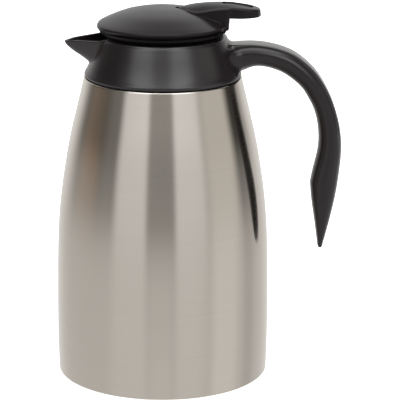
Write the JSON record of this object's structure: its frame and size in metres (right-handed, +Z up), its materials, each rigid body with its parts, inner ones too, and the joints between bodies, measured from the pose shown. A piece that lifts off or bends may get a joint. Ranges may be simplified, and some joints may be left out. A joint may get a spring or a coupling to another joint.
{
  "type": "thermal carafe",
  "caption": "Double-walled steel thermal carafe with a moulded collar and spout, hook handle, screw-in stopper and rear-hinged flip lid with thumb lever.",
  "frame": {"origin": "on the bottle's axis in the plane of the foot ring", "axes": "+Z up along the bottle's axis, +X towards the handle, spout towards -X"},
  "size_m": [0.1877, 0.1404, 0.2484],
  "materials": {
    "brushed_steel": "vertical brushed satin, warm grey",
    "inner_steel": "electropolished",
    "fastener_steel": "bright zinc",
    "getter_metal": "dull",
    "black_plastic": "satin charcoal polypropylene",
    "inner_plastic": "dark polypropylene",
    "silicone": "matt silicone",
    "foam": "closed-cell foam"
  },
  "bodies": {
    "carafe": {"outer_shell": "brushed_steel", "outer_base": "brushed_steel", "outer_neck": "brushed_steel", "base_plate": "brushed_steel", "vacuum_seal_cap": "inner_steel", "getter": "getter_metal", "inner_liner": "inner_steel", "inner_neck": "inner_steel", "inner_bottom": "inner_steel", "collar": "black_plastic", "collar_gasket": "silicone", "neck_ring": "inner_plastic", "neck_ring_seal": "silicone", "handle": "black_plastic", "handle_spine": "black_plastic", "handle_screws": "fastener_steel"},
    "neck_seal": {"stopper_seal": "silicone"},
    "stopper": {"stopper_body": "inner_plastic", "stopper_cap": "inner_plastic", "stopper_foam": "foam"},
    "flip_lid": {"lid_dome": "black_plastic", "lid_base": "inner_plastic", "lid_plug": "inner_plastic", "plug_gasket": "silicone", "lid_foam": "foam", "thumb_lever": "black_plastic", "lever_screws": "fastener_steel", "hinge_pin": "fastener_steel", "lid_spring": "fastener_steel"}
  },
  "joints": [
    {"name": "stopper_lift", "type": "slide", "parent": "carafe", "child": "neck_seal", "axis": [0, 0, 1], "range_m": [0, 0.006]},
    {"name": "stopper_turn", "type": "hinge", "parent": "neck_seal", "child": "stopper", "pos_m": [0, 0, 0.2126], "axis": [0, 0, 1], "range_deg": [0, 120]},
    {"name": "lid_flip", "type": "hinge", "parent": "stopper", "child": "flip_lid", "pos_m": [0.0362, 0, 0.2295], "axis": [0, 1, 0], "range_deg": [0, 28], "stiffness_Nm_per_rad": 0.03, "springref_deg": -34.38}
  ],
  "couplings": [
    {"joint": "stopper_lift", "follows": "stopper_turn", "m_per_rad": 0.0028648}
  ]
}
